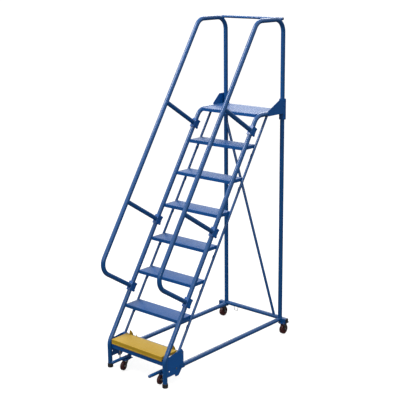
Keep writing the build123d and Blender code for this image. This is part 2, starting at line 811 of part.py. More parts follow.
def caster_outrigger(x):
    out = 1 if x > 0 else -1
    far = rear_caster_x + outrigger_reach
    xs = sorted((out * half_width, out * far))
    tube = block(xs, (post_y - tube_r, post_y + tube_r), (pad_top + weld_gap, pad_top + 2 * tube_r))
    tube = fillet(tube.edges().filter_by(Axis.X), 3)
    inner = block((xs[0] - 1, xs[1] + 1), (post_y - tube_r + 2.5, post_y + tube_r - 2.5),
                  (pad_top + 2.5, pad_top + 2 * tube_r - 2.5))
    tube = tube - inner - rod((x, post_y, 60), (x, post_y, 220), tube_r + weld_gap)
    tube -= rod((x, post_y - 60, base_rail_z), (x, post_y, base_rail_z), tube_r + weld_gap)
    return tube.solids().sort_by(Axis.X)[-1 if out > 0 else 0]


def outrigger_plug(x):
    out = 1 if x > 0 else -1
    far = rear_caster_x + outrigger_reach
    inset = 2.7
    head_x = sorted((out * (far + weld_gap), out * (far + 4)))
    head = block(head_x, (post_y - tube_r, post_y + tube_r), (pad_top + weld_gap, pad_top + 2 * tube_r))
    head = fillet(head.edges().filter_by(Axis.X), 3)
    body_x = sorted((out * (far - 12), out * (far + weld_gap)))
    body_y = (post_y - tube_r + inset, post_y + tube_r - inset)
    return head + block(body_x, body_y, (pad_top + inset, pad_top + 2 * tube_r - inset))


def caster_pad(x):
    cx = rear_caster_x if x > 0 else -rear_caster_x
    dx, dy = pad_half
    pad = block((cx - dx, cx + dx), (post_y - dy, post_y + dy), (pad_low, pad_top))
    pad = fillet(pad.edges().filter_by(Axis.Z), 6)
    return pad - pad_holes(cx)


def pad_holes(cx):
    holes = Pos(0, 0, 0) * Cylinder(0.1, 0.1)
    for sx in (-1, 1):
        for sy in (-1, 1):
            x, y = cx + sx * pad_bolt[0], post_y + sy * pad_bolt[1]
            holes += rod((x, y, rear_plate_low - 20), (x, y, pad_top + 20), 3.0 + bolt_clearance)
    return holes


def pad_fasteners(x):
    cx = rear_caster_x if x > 0 else -rear_caster_x
    pieces = []
    for sx in (-1, 1):
        for sy in (-1, 1):
            at = (cx + sx * pad_bolt[0], post_y + sy * pad_bolt[1])
            pieces.append(bolt((*at, pad_top + 0.05), (0, 0, -1), pad_thick + fork_sheet, radius=3.0))
            pieces.append(nut((*at, rear_plate_low - 0.05), (0, 0, -1), radius=3.0))
    return pieces


def rear_fork(x):
    cx = rear_caster_x if x > 0 else -rear_caster_x
    place = Pos(cx, post_y, rear_wheel_r)
    crown_low = rear_plate_low - rear_wheel_r
    body = place * fork(rear_wheel_width, crown_low, 22, 0, pad_half[1], fork_sheet)
    dx, dy = pad_half
    top = block((cx - dx, cx + dx), (post_y - dy, post_y + dy), (rear_plate_low, rear_plate_low + fork_sheet))
    body += fillet(top.edges().filter_by(Axis.Z), 6)
    return body - pad_holes(cx)


# ---- front casters: swivel ----
def front_place(x):
    """Wheel frame of a front caster: origin at the wheel centre, +Y towards the swivel axis."""
    axis = Pos(x, caster_y, front_wheel_lift + front_wheel_r)
    return axis * Rot(0, 0, caster_turn) * Pos(0, -caster_trail, 0)


def swivel_fork(x):
    crown_low = fork_crown_low - front_wheel_lift - front_wheel_r
    body = fork(front_wheel_width, crown_low, 15, caster_trail, 20, fork_crown_thick)
    crown_top = crown_low + fork_crown_thick
    body += Pos(0, caster_trail, crown_top) * Cone(19, 16, 1.8, align=base_centre)
    body -= Pos(0, caster_trail, crown_low) * Cylinder(4.0 + shaft_clearance, 40)
    return front_place(x) * body


def swivel_plate(x):
    """The caster's fixed top plate, with the kingpin riveted through it."""
    top = block((x - top_plate_half, x + top_plate_half), (caster_y - mount_front, caster_y + mount_front),
                (top_plate_low, top_plate_low + top_plate_thick))
    top = fillet(top.edges().filter_by(Axis.Z), 5)
    race = rod((x, caster_y, race_low + 2.1), (x, caster_y, top_plate_low), 17)
    pin = rod((x, caster_y, fork_crown_low - 0.4), (x, caster_y, top_plate_low + 1), 4.0)
    head = rod((x, caster_y, fork_crown_low - 1.6), (x, caster_y, fork_crown_low - 0.4), 7.0)
    return top + race + pin + head - mount_holes(x)


# ---- return spring, between the crossmember and the left caster mount ----
def return_spring(x):
    """An extension spring: a coil, and a plug with a stem in each end."""
    low = mount_top + weld_gap
    high = crossmember_z[0] - weld_gap
    stem = 6.0
    plug = 6.0
    coil = Helix(spring_pitch, high - low - 2 * stem, spring_r)
    turns = sweep(Plane(coil @ 0, z_dir=coil % 0) * Circle(spring_wire_r), path=coil, is_frenet=True)
    plug_r = spring_r - spring_wire_r - weld_gap
    pieces = [Pos(x, spring_y, low + stem) * turns]
    for z, toward in ((low, 1), (high, -1)):
        seat = Vector(x, spring_y, z)
        neck = seat + Vector(0, 0, toward * stem)
        pieces.append(rod(seat, neck, 2.0) + rod(neck, neck + Vector(0, 0, toward * plug), plug_r))
    return pieces


# ---- write every node ----
os.makedirs("parts", exist_ok=True)
signs = (-1, 1)
frame_x = [sign * half_width for sign in signs]
thin_x = [sign * thin_centre_x for sign in signs]

for side, sign in zip(("left", "right"), signs):
    x = sign * half_width
    wheel_place = Pos(sign * rear_caster_x, post_y, rear_wheel_r)
    save(f"{side}_stringer", stringer(x))
    save(f"{side}_handrail", drill_post(handrail(x), x))
    save(f"{side}_rear_post", rear_post(x))
    save(f"{side}_base_rail", base_rail(x))
    save(f"{side}_side_plate", side_plate(x))
    save(f"{side}_rear_wheel", wheel_place * wheel(rear_wheel_r, rear_wheel_width))
    save(f"{side}_rear_bush", wheel_place * wheel_bush(rear_wheel_width))

save("rear_stringers", *[rear_stringer(x) for x in thin_x])
for number in range(2, step_count):
    save(f"tread_{number}", tread(number))
save("platform_tread", platform())
save("platform_brackets", *[platform_bracket(x) for x in frame_x])
save("lower_crossmember", crossmember())
save("rubber_feet", *[rubber_foot(x) for x in frame_x])

save("handrail_stubs", *[rail_stub(x, height) for x in frame_x for height in clamp_heights[1:]])
save("rail_clamps", *[rail_clamp(x, height) for x in frame_x for height in clamp_heights])
save("clamp_fasteners", *[piece for x in frame_x for piece in clamp_fasteners(x)])
save("frame_fasteners", *[piece for x in frame_x for piece in bracket_fasteners(x) + tongue_fasteners(x)])
save("top_crossbar", top_crossbar())
save("rear_cross_tube", rear_cross_tube())
save("rear_brace", rear_brace())
save("tie_loop", tie_loop())

save("caster_outriggers", *[caster_outrigger(x) for x in frame_x])
save("outrigger_plugs", *[outrigger_plug(x) for x in frame_x])
save("caster_pads", *[caster_pad(x) for x in frame_x])
save("caster_fasteners", *[piece for x in frame_x for piece in pad_fasteners(x)])
save("rear_forks", *[rear_fork(x) for x in frame_x])
rear_places = [Pos(sign * rear_caster_x, post_y, rear_wheel_r) for sign in signs]
save("rear_axles", *[place * piece for place in rear_places for piece in axle_set(rear_wheel_width)])

save("lock_step", lock_step())
save("step_hinge_rod", hinge_rod())
save("step_bumpers", *[step_bumper(x) for x in (-bumper_x, bumper_x)])
save("link_top_pins", *[link_top_pin(x) for x in (-link_x, link_x)])
save("step_links", *[step_link(x) for x in (-link_x, link_x)])

save("pivot_shaft", pivot_shaft())
save("carriage_sleeve", carriage_sleeve())
save("link_arms", *[link_arm(x) for x in (-link_x, link_x)])
save("release_pedals", *[release_pedal(x) for x in caster_x])
save("caster_mounts", *[caster_mount(x) for x in caster_x])
save("swivel_plates", *[swivel_plate(x) for x in caster_x])
save("mount_bolts", *[piece for x in caster_x for piece in mount_bolts(x)])
save("return_spring", *return_spring(caster_x[0] + spring_beside))
for side, x in zip(("left", "right"), caster_x):
    place = front_place(x)
    save(f"{side}_swivel_fork", swivel_fork(x))
    save(f"{side}_front_wheel", place * wheel(front_wheel_r, front_wheel_width))
    save(f"{side}_front_bush", place * wheel_bush(front_wheel_width))
    save(f"{side}_front_axle", *[place * piece for piece in axle_set(front_wheel_width)])
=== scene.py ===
import json
import math
import bpy
from mathutils import Matrix, Vector


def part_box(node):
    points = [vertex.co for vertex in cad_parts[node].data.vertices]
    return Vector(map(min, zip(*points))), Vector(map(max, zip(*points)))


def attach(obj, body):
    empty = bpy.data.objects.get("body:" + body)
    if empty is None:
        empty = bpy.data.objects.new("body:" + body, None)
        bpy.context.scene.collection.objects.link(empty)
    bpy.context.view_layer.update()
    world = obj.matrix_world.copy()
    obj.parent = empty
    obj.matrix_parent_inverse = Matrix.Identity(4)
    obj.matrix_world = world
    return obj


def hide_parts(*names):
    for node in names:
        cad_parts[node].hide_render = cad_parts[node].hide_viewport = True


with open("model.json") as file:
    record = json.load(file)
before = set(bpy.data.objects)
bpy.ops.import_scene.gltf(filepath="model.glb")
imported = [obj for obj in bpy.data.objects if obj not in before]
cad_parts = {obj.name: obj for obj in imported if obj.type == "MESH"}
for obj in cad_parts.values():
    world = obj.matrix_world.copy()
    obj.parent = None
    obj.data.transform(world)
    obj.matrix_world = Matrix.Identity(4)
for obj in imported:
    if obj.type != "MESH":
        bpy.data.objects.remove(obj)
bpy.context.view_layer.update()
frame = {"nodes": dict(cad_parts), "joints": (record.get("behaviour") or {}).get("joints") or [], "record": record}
nodes = frame["nodes"]
slotOf = {part["node"]: part["material_slot"] for part in frame["record"]["subparts"]}
print("frame loaded:", len(nodes), "nodes")


# ways to write a node tree shortly: a socket given as a value is linked
def put(tree, kind, values, **settings):
    made = tree.nodes.new(kind)
    for key, value in settings.items():
        setattr(made, key, value)
    for key, value in values.items():
        if isinstance(value, bpy.types.NodeSocket):
            tree.links.new(value, made.inputs[key])
        else:
            made.inputs[key].default_value = value
    return made


def noise(tree, place, scale, detail=3.0, rough=0.55, stretch=None):
    if stretch:
        place = put(tree, "ShaderNodeMapping", {"Vector": place, "Scale": stretch}).outputs[0]
    values = {"Vector": place, "Scale": scale, "Detail": detail, "Roughness": rough}
    return put(tree, "ShaderNodeTexNoise", values).outputs[0]


def span(tree, value, low, high, toLow=0.0, toHigh=1.0):
    values = {"Value": value, "From Min": low, "From Max": high, "To Min": toLow, "To Max": toHigh}
    return put(tree, "ShaderNodeMapRange", values).outputs[0]


def sums(tree, first, second, how="MULTIPLY"):
    clamped = how == "MULTIPLY"
    return put(tree, "ShaderNodeMath", {0: first, 1: second}, operation=how, use_clamp=clamped).outputs[0]


def mixColor(tree, amount, first, second):
    return put(tree, "ShaderNodeMix", {0: amount, 6: first, 7: second}, data_type="RGBA").outputs[2]


def makeGroup(name, inputs, outputs):
    group = bpy.data.node_groups.new(name, "ShaderNodeTree")
    for label, (kind, value) in inputs.items():
        socket = group.interface.new_socket(label, in_out="INPUT", socket_type="NodeSocket" + kind)
        if value is not None:
            socket.default_value = value
    for label, kind in outputs.items():
        group.interface.new_socket(label, in_out="OUTPUT", socket_type="NodeSocket" + kind)
    return group, group.nodes.new("NodeGroupInput").outputs, group.nodes.new("NodeGroupOutput").inputs


# the camera stands in front of the ladder, to its right
cameraPlan = {"place": (5.145, -5.755, 3.289), "yaw": 41.467, "pitch": 14.189, "roll": -0.581, "lens": 86.1,
              "farthest": 500}


def makeCamera(plan):
    bpy.ops.object.camera_add()
    camera = bpy.context.object
    camera.name = "ladderCamera"
    turn = Matrix.Rotation(math.radians(plan["yaw"]), 4, "Z")
    turn = turn @ Matrix.Rotation(math.radians(90 - plan["pitch"]), 4, "X")
    turn = turn @ Matrix.Rotation(math.radians(plan["roll"]), 4, "Z")
    camera.matrix_world = Matrix.Translation(plan["place"]) @ turn
    camera.data.lens = plan["lens"]
    camera.data.clip_end = plan["farthest"]
    bpy.context.scene.camera = camera


lightPlan = {
    "overheadBox": {"place": (-1.6, -2.0, 5.4), "aim": (0, 0, 1.0), "size": 2.6, "power": 170,
                    "tint": (1, 0.99, 0.97)},
    "frontFill": {"place": (4.6, -5.2, 3.4), "aim": (0, 0, 0.9), "size": 2.4, "power": 60,
                  "tint": (0.97, 0.98, 1)},
    "backRim": {"place": (-2.6, 3.8, 4.2), "aim": (0, 0, 1.2), "size": 2.0, "power": 60,
                "tint": (1, 1, 1)},
}


def makeLights():
    for name, plan in lightPlan.items():
        bpy.ops.object.light_add(type="AREA", location=plan["place"])
        lamp = bpy.context.object
        lamp.name = name
        lamp.data.shape = "DISK"
        lamp.data.size = plan["size"]
        lamp.data.energy = plan["power"]
        lamp.data.color = plan["tint"]
        aim = Vector(plan["aim"]) - lamp.location
        lamp.rotation_euler = aim.to_track_quat("-Z", "Y").to_euler()


# a tent of white cloth overhead that fades to a dim grey under the horizon
skyPlan = {"high": (1.0, 1.0, 1.0, 1), "low": (0.10, 0.11, 0.125, 1), "fadeFrom": -0.05, "fadeTo": 0.42,
           "strength": 0.95, "backdrop": (1.06, 1.06, 1.06, 1)}


def makeTent():
    world = bpy.data.worlds.new("studio")
    world.use_nodes = True
    bpy.context.scene.world = world
    bpy.context.scene.view_settings.view_transform = "Standard"
    tree = world.node_tree
    direction = put(tree, "ShaderNodeTexCoord", {}).outputs["Generated"]
    height = put(tree, "ShaderNodeSeparateXYZ", {0: direction}).outputs[2]
    values = {"Value": height, "From Min": skyPlan["fadeFrom"], "From Max": skyPlan["fadeTo"]}
    fade = put(tree, "ShaderNodeMapRange", values, interpolation_type="SMOOTHSTEP").outputs[0]
    tent = mixColor(tree, fade, skyPlan["low"], skyPlan["high"])
    # the camera sees a plain white backdrop instead of the tent
    seen = put(tree, "ShaderNodeLightPath", {}).outputs["Is Camera Ray"]
    sky = tree.nodes["Background"]
    tree.links.new(mixColor(tree, seen, tent, skyPlan["backdrop"]), sky.inputs["Color"])
    sky.inputs["Strength"].default_value = skyPlan["strength"]


floorPlan = {"size": 400.0, "color": (0.32, 0.32, 0.32, 1), "roughness": 0.9, "glow": 0.8}


def makeFloor():
    bpy.ops.mesh.primitive_plane_add(size=floorPlan["size"])
    floor = bpy.context.object
    floor.name = "floor"
    paint = bpy.data.materials.new("floorPaint")
    paint.use_nodes = True
    shader = paint.node_tree.nodes["Principled BSDF"]
    shader.inputs["Base Color"].default_value = floorPlan["color"]
    shader.inputs["Roughness"].default_value = floorPlan["roughness"]
    shader.inputs["Specular IOR Level"].default_value = 0.0
    shader.inputs["Emission Color"].default_value = (1, 1, 1, 1)
    shader.inputs["Emission Strength"].default_value = floorPlan["glow"]
    floor.data.materials.append(paint)
    # the object is lit by the tent and the lamps, not by the floor's glow
    floor.visible_glossy = False
    floor.visible_diffuse = False


makeCamera(cameraPlan)
makeLights()
makeTent()
makeFloor()
print("camera, lights and floor ready")


# powder coat: slow colour drift, fine specks, and the rippled skin of baked powder
skinPlan = {"drift": (0.35, 0.7), "driftCover": 0.55, "speckScale": 900.0, "speck": (0.62, 0.75),
            "speckCover": 0.35, "unevenScale": 38.0, "uneven": (0.3, 0.7), "rougher": (-0.05, 0.07),
            "bump": 0.5}


def makeCoatSkin():
    group, given, result = makeGroup("coatSkin", {
        "Place": ("Vector", None),
        "Color": ("Color", (0.01, 0.07, 0.3, 1)),
        "Deep Color": ("Color", (0.005, 0.04, 0.2, 1)),
        "Drift Scale": ("Float", 5.0),
        "Ripple Scale": ("Float", 420.0),
        "Ripple Depth": ("Float", 0.00025),
        "Roughness": ("Float", 0.32),
    }, {"Color": "Color", "Roughness": "Float", "Normal": "Vector"})
    drift = span(group, noise(group, given["Place"], given["Drift Scale"], 4), *skinPlan["drift"])
    color = mixColor(group, sums(group, drift, skinPlan["driftCover"]), given["Color"], given["Deep Color"])
    specks = span(group, noise(group, given["Place"], skinPlan["speckScale"], 1), *skinPlan["speck"])
    color = mixColor(group, sums(group, specks, skinPlan["speckCover"]), color, given["Deep Color"])
    group.links.new(color, result["Color"])
    uneven = noise(group, given["Place"], skinPlan["unevenScale"], 3)
    uneven = span(group, uneven, *skinPlan["uneven"], *skinPlan["rougher"])
    group.links.new(sums(group, given["Roughness"], uneven, "ADD"), result["Roughness"])
    ripple = noise(group, given["Place"], given["Ripple Scale"], 2, 0.4)
    values = {"Strength": skinPlan["bump"], "Distance": given["Ripple Depth"], "Height": ripple}
    bump = put(group, "ShaderNodeBump", values)
    group.links.new(bump.outputs[0], result["Normal"])
    return group


# where an edge is rubbed: the rounded normal differs from the true one there
rubPlan = {"radius": 0.0016, "edge": (0.985, 0.86), "patch": (0.42, 0.62)}


def makeEdgeRub():
    group, given, result = makeGroup("edgeRub", {
        "Place": ("Vector", None),
        "Patch Scale": ("Float", 60.0),
        "Cover": ("Float", 0.5),
    }, {"Mask": "Float"})
    rounded = put(group, "ShaderNodeBevel", {"Radius": rubPlan["radius"]}, samples=4).outputs[0]
    true = put(group, "ShaderNodeNewGeometry", {}).outputs["Normal"]
    dot = put(group, "ShaderNodeVectorMath", {0: rounded, 1: true}, operation="DOT_PRODUCT").outputs["Value"]
    edge = span(group, dot, *rubPlan["edge"])
    patch = span(group, noise(group, given["Place"], given["Patch Scale"], 4, 0.65), *rubPlan["patch"])
    mask = sums(group, sums(group, edge, patch), given["Cover"])
    group.links.new(mask, result["Mask"])
    return group


# dust that lies on what faces up, and smears left by hands and shoes
dustPlan = {"up": (0.4, 1.0), "smear": (0.4, 0.75)}


def makeDust():
    group, given, result = makeGroup("dustFilm", {
        "Place": ("Vector", None),
        "Amount": ("Float", 0.25),
        "Smear Scale": ("Float", 14.0),
    }, {"Mask": "Float"})
    normal = put(group, "ShaderNodeTexCoord", {}).outputs["Normal"]
    up = put(group, "ShaderNodeSeparateXYZ", {0: normal}).outputs[2]
    up = span(group, up, *dustPlan["up"])
    smear = span(group, noise(group, given["Place"], given["Smear Scale"], 5, 0.7), *dustPlan["smear"])
    group.links.new(sums(group, sums(group, up, smear), given["Amount"]), result["Mask"])
    return group


# grit cast into the coat on the faces that are stepped on
gritPlan = {"up": (0.9, 0.99), "grain": (0.05, 0.55), "bump": 0.7, "wornCover": 0.25, "rougher": 0.12}


def makeGrit():
    group, given, result = makeGroup("stepGrit", {
        "Place": ("Vector", None),
        "Grain Scale": ("Float", 520.0),
    }, {"Mask": "Float", "Height": "Float"})
    normal = put(group, "ShaderNodeTexCoord", {}).outputs["Normal"]
    up = put(group, "ShaderNodeSeparateXYZ", {0: normal}).outputs[2]
    up = span(group, up, *gritPlan["up"])
    values = {"Vector": given["Place"], "Scale": given["Grain Scale"], "Randomness": 1.0}
    grain = put(group, "ShaderNodeTexVoronoi", values).outputs["Distance"]
    grain = span(group, grain, *gritPlan["grain"], 1.0, 0.0)
    group.links.new(up, result["Mask"])
    group.links.new(sums(group, grain, up), result["Height"])
    return group


coatSkin = makeCoatSkin()
edgeRub = makeEdgeRub()
dustFilm = makeDust()
stepGrit = makeGrit()


def useGroup(tree, group, values):
    return put(tree, "ShaderNodeGroup", values, node_tree=group).outputs


def startMaterial(name):
    material = bpy.data.materials.new(name)
    material.use_nodes = True
    tree = material.node_tree
    place = put(tree, "ShaderNodeTexCoord", {}).outputs["Object"]
    return material, tree, tree.nodes["Principled BSDF"], place


def setShader(tree, shader, color, roughness, normal, **fixed):
    tree.links.new(color, shader.inputs["Base Color"])
    tree.links.new(roughness, shader.inputs["Roughness"])
    tree.links.new(normal, shader.inputs["Normal"])
    for key, value in fixed.items():
        shader.inputs[key.replace("_", " ")].default_value = value


def coatMaterial(name, plan):
    material, tree, shader, place = startMaterial(name)
    skin = useGroup(tree, coatSkin, {
        "Place": place, "Color": plan["color"], "Deep Color": plan["deep"],
        "Roughness": plan["roughness"], "Ripple Depth": plan["ripple"],
    })
    color, roughness, normal = skin["Color"], skin["Roughness"], skin["Normal"]
    if plan.get("grit"):
        grit = useGroup(tree, stepGrit, {"Place": place})
        values = {"Strength": gritPlan["bump"], "Distance": plan["grit"], "Height": grit["Height"],
                  "Normal": normal}
        normal = put(tree, "ShaderNodeBump", values).outputs[0]
        color = mixColor(tree, sums(tree, grit["Height"], gritPlan["wornCover"]), color, plan["worn"])
        roughness = sums(tree, roughness, sums(tree, grit["Mask"], gritPlan["rougher"]), "ADD")
    rub = useGroup(tree, edgeRub, {"Place": place, "Cover": plan["rub"]})["Mask"]
    color = mixColor(tree, rub, color, plan["worn"])
    dust = useGroup(tree, dustFilm, {"Place": place, "Amount": plan["dust"]})["Mask"]
    color = mixColor(tree, dust, color, plan["dustColor"])
    roughness = sums(tree, roughness, sums(tree, dust, plan["dustDull"]), "ADD")
    setShader(tree, shader, color, roughness, normal, Specular_IOR_Level=plan["shine"],
              Coat_Weight=plan["coat"], Coat_Roughness=plan["coatRoughness"])
    return material


blueTubePlan = {"color": (0.005, 0.080, 0.268, 1), "deep": (0.0035, 0.060, 0.200, 1),
                "worn": (0.015, 0.14, 0.38, 1), "dustColor": (0.14, 0.20, 0.36, 1), "roughness": 0.30,
                "ripple": 0.00018, "rub": 0.35, "dust": 0.05, "dustDull": 0.4,
                "shine": 0.34, "coat": 0.45, "coatRoughness": 0.08}
bluePlatePlan = {**blueTubePlan, "color": (0.0015, 0.090, 0.34, 1), "deep": (0.001, 0.066, 0.25, 1),
                 "rub": 0.4, "roughness": 0.36}
blueTreadPlan = {**blueTubePlan, "color": (0.004, 0.082, 0.30, 1), "deep": (0.003, 0.06, 0.22, 1),
                 "grit": 0.0005, "rub": 0.45, "dust": 0.15, "roughness": 0.38, "coat": 0.3,
                 "coatRoughness": 0.22}
yellowPlan = {"color": (0.50, 0.31, 0.015, 1), "deep": (0.40, 0.23, 0.01, 1), "worn": (0.62, 0.46, 0.10, 1),
              "dustColor": (0.40, 0.31, 0.12, 1), "roughness": 0.42, "ripple": 0.00022, "rub": 0.6,
              "dust": 0.2, "dustDull": 0.4, "grit": 0.0005, "shine": 0.4, "coat": 0.15,
              "coatRoughness": 0.3}


# zinc plate: a cloudy grey metal with rub lines, brighter where its edges are rubbed
metalSkin = {"cloudScale": 45.0, "cloud": (0.35, 0.7), "cloudCover": 0.6,
             "lineScale": 30.0, "lineStretch": (4, 4, 60), "line": (0.45, 0.6), "lineCover": 0.18,
             "rub": 0.7, "patchScale": 120.0, "bare": (0.6, 0.6, 0.6, 1),
             "smoother": 0.06, "rougher": 0.14, "bump": 0.35, "depth": 0.0001, "metallic": 0.92}
zincPlan = {"color": (0.34, 0.34, 0.33, 1), "dark": (0.12, 0.12, 0.115, 1), "roughness": 0.38}
darkZincPlan = {"color": (0.16, 0.155, 0.15, 1), "dark": (0.05, 0.048, 0.045, 1), "roughness": 0.42}
springPlan = {"color": (0.42, 0.42, 0.41, 1), "dark": (0.14, 0.14, 0.13, 1), "roughness": 0.3}


def metalMaterial(name, plan):
    material, tree, shader, place = startMaterial(name)
    cloud = noise(tree, place, metalSkin["cloudScale"], detail=5, rough=0.7)
    cloud = span(tree, cloud, *metalSkin["cloud"])
    lines = noise(tree, place, metalSkin["lineScale"], 3, 0.6, stretch=metalSkin["lineStretch"])
    lines = span(tree, lines, *metalSkin["line"])
    color = mixColor(tree, sums(tree, cloud, metalSkin["cloudCover"]), plan["color"], plan["dark"])
    color = mixColor(tree, sums(tree, lines, metalSkin["lineCover"]), color, plan["dark"])
    values = {"Place": place, "Cover": metalSkin["rub"], "Patch Scale": metalSkin["patchScale"]}
    color = mixColor(tree, useGroup(tree, edgeRub, values)["Mask"], color, metalSkin["bare"])
    smoothest = plan["roughness"] - metalSkin["smoother"]
    roughness = span(tree, cloud, 0, 1, smoothest, plan["roughness"] + metalSkin["rougher"])
    values = {"Strength": metalSkin["bump"], "Distance": metalSkin["depth"], "Height": lines}
    bump = put(tree, "ShaderNodeBump", values)
    setShader(tree, shader, color, roughness, bump.outputs[0], Metallic=metalSkin["metallic"])
    return material


# moulded rubber and plastic: mottled, scuffed at the edges and greyed by dust
mouldedSkin = {"mottleScale": 70.0, "mottle": (0.4, 0.75), "mottleCover": 0.3,
               "rub": 0.8, "patchScale": 90.0, "dust": 0.35, "smearScale": 30.0,
               "dustColor": (0.22, 0.21, 0.20, 1), "rougher": 0.12, "bump": 0.4, "depth": 0.00015}
rubberPlan = {"color": (0.012, 0.012, 0.013, 1), "scuff": (0.075, 0.072, 0.07, 1),
              "roughness": 0.62, "grain": 700.0}
plugPlan = {"color": (0.010, 0.010, 0.011, 1), "scuff": (0.05, 0.05, 0.05, 1),
            "roughness": 0.42, "grain": 500.0}
casterPlan = {"color": (0.060, 0.008, 0.007, 1), "scuff": (0.12, 0.045, 0.04, 1),
              "roughness": 0.34, "grain": 350.0}
nylonPlan = {"color": (0.62, 0.60, 0.54, 1), "scuff": (0.34, 0.32, 0.28, 1),
             "roughness": 0.45, "grain": 400.0}


def mouldedMaterial(name, plan):
    material, tree, shader, place = startMaterial(name)
    mottle = noise(tree, place, mouldedSkin["mottleScale"], detail=4, rough=0.6)
    mottle = span(tree, mottle, *mouldedSkin["mottle"])
    color = mixColor(tree, sums(tree, mottle, mouldedSkin["mottleCover"]), plan["color"], plan["scuff"])
    values = {"Place": place, "Cover": mouldedSkin["rub"], "Patch Scale": mouldedSkin["patchScale"]}
    color = mixColor(tree, useGroup(tree, edgeRub, values)["Mask"], color, plan["scuff"])
    values = {"Place": place, "Amount": mouldedSkin["dust"], "Smear Scale": mouldedSkin["smearScale"]}
    color = mixColor(tree, useGroup(tree, dustFilm, values)["Mask"], color, mouldedSkin["dustColor"])
    roughest = plan["roughness"] + mouldedSkin["rougher"]
    roughness = span(tree, mottle, 0, 1, plan["roughness"], roughest)
    grain = noise(tree, place, plan["grain"], 2)
    values = {"Strength": mouldedSkin["bump"], "Distance": mouldedSkin["depth"], "Height": grain}
    bump = put(tree, "ShaderNodeBump", values)
    setShader(tree, shader, color, roughness, bump.outputs[0])
    return material


looks = {
    "tube": coatMaterial("blueTubeCoat", blueTubePlan),
    "plate": coatMaterial("bluePlateCoat", bluePlatePlan),
    "tread": coatMaterial("blueTreadCoat", blueTreadPlan),
    "step": coatMaterial("yellowStepCoat", yellowPlan),
    "zinc": metalMaterial("zincPlate", zincPlan),
    "darkZinc": metalMaterial("darkZincPlate", darkZincPlan),
    "spring": metalMaterial("springSteel", springPlan),
    "rubber": mouldedMaterial("footRubber", rubberPlan),
    "plug": mouldedMaterial("plugPlastic", plugPlan),
    "wheel": mouldedMaterial("wheelPlastic", casterPlan),
    "nylon": mouldedMaterial("bushNylon", nylonPlan),
}
slotLook = {"blue_coat": "tube", "yellow_coat": "step", "zinc_steel": "zinc", "loop_steel": "zinc",
            "black_rubber": "rubber", "black_plastic": "plug", "wheel_plastic": "wheel",
            "bush_nylon": "nylon"}
nodeLook = {"left_side_plate": "plate", "right_side_plate": "plate", "platform_brackets": "plate",
            "lower_crossmember": "plate", "rail_clamps": "plate", "caster_mounts": "plate",
            "caster_pads": "plate", "clamp_fasteners": "plate", "frame_fasteners": "plate",
            "link_arms": "plate", "rear_forks": "darkZinc", "left_swivel_fork": "darkZinc",
            "right_swivel_fork": "darkZinc", "swivel_plates": "darkZinc", "return_spring": "spring"}


def coatNodes():
    for name, node in nodes.items():
        look = nodeLook.get(name, slotLook[slotOf[name]])
        if name.startswith(("tread", "platform_tread")):
            look = "tread"
        node.data.materials.clear()
        node.data.materials.append(looks[look])


coatNodes()
print("materials on", len(nodes), "nodes")


# the ladder's own lines, worked out from the frame
def middle(name):
    low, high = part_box(name)
    return (Vector(low) + Vector(high)) / 2


def halfSize(name, axis):
    low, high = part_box(name)
    return (high[axis] - low[axis]) / 2


def treadFront(name):
    low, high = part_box(name)
    return Vector((0, low[1], high[2]))


climb = (treadFront("tread_3") - treadFront("tread_2")).normalized()
outward = Vector((0, -climb.z, climb.y))
across = Vector((1, 0, 0))
upright = Vector((0, 0, 1))
tubeR = halfSize("right_rear_post", 0)
railX = middle("right_rear_post").x
postY = middle("right_rear_post").y
nosingAhead = 0.0063  # from a tread's front edge back to the stringer's centreline
sides = {"left": -1, "right": 1}


def onStringer(height, side):
    front = treadFront("tread_2") + Vector((0, nosingAhead, 0))
    return front + climb * ((height - front.z) / climb.z) + across * railX * side


def startFresh():
    if bpy.context.mode != "OBJECT":
        bpy.ops.object.mode_set(mode="OBJECT")
    bpy.ops.object.select_all(action="DESELECT")


def keepPlace(piece, place):
    startFresh()
    piece.select_set(True)
    bpy.context.view_layer.objects.active = piece
    piece.matrix_world = place
    bpy.ops.object.transform_apply(location=True, rotation=True, scale=True)


def ownCopy(piece, name):
    copy = piece.copy()
    copy.data = piece.data.copy()
    copy.name = name
    bpy.context.collection.objects.link(copy)
    return copy


def joined(pieceList, name):
    startFresh()
    for piece in pieceList:
        piece.select_set(True)
    bpy.context.view_layer.objects.active = pieceList[0]
    bpy.ops.object.join()
    whole = bpy.context.object
    whole.name = name
    return whole


smoothAngle = 38
mergeWithin = 0.00001


def dress(piece, look, body):
    piece.data.materials.clear()
    piece.data.materials.append(looks[look])
    startFresh()
    piece.select_set(True)
    bpy.context.view_layer.objects.active = piece
    bpy.ops.object.shade_smooth_by_angle(angle=math.radians(smoothAngle))
    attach(piece, body)


# a turned shape about Z: a ring is pulled from one (radius, height) to the next
def turned(name, profile, around):
    startFresh()
    radius, height = profile[0]
    bpy.ops.mesh.primitive_circle_add(vertices=around, radius=radius, location=(0, 0, 0))
    piece = bpy.context.object
    piece.name = name
    bpy.ops.object.mode_set(mode="EDIT")
    bpy.ops.mesh.select_mode(type="EDGE")
    bpy.ops.mesh.select_all(action="SELECT")
    bpy.ops.transform.translate(value=(0, 0, height))
    for nextRadius, nextHeight in profile[1:]:
        bpy.ops.mesh.extrude_edges_move(TRANSFORM_OT_translate={"value": (0, 0, nextHeight - height)})
        grow = nextRadius / radius
        bpy.ops.transform.resize(value=(grow, grow, 1), center_override=(0, 0, 0))
        radius, height = nextRadius, nextHeight
    bpy.ops.mesh.select_all(action="SELECT")
    bpy.ops.mesh.remove_doubles(threshold=mergeWithin)
    bpy.ops.mesh.normals_make_consistent(inside=False)
    bpy.ops.object.mode_set(mode="OBJECT")
    return piece


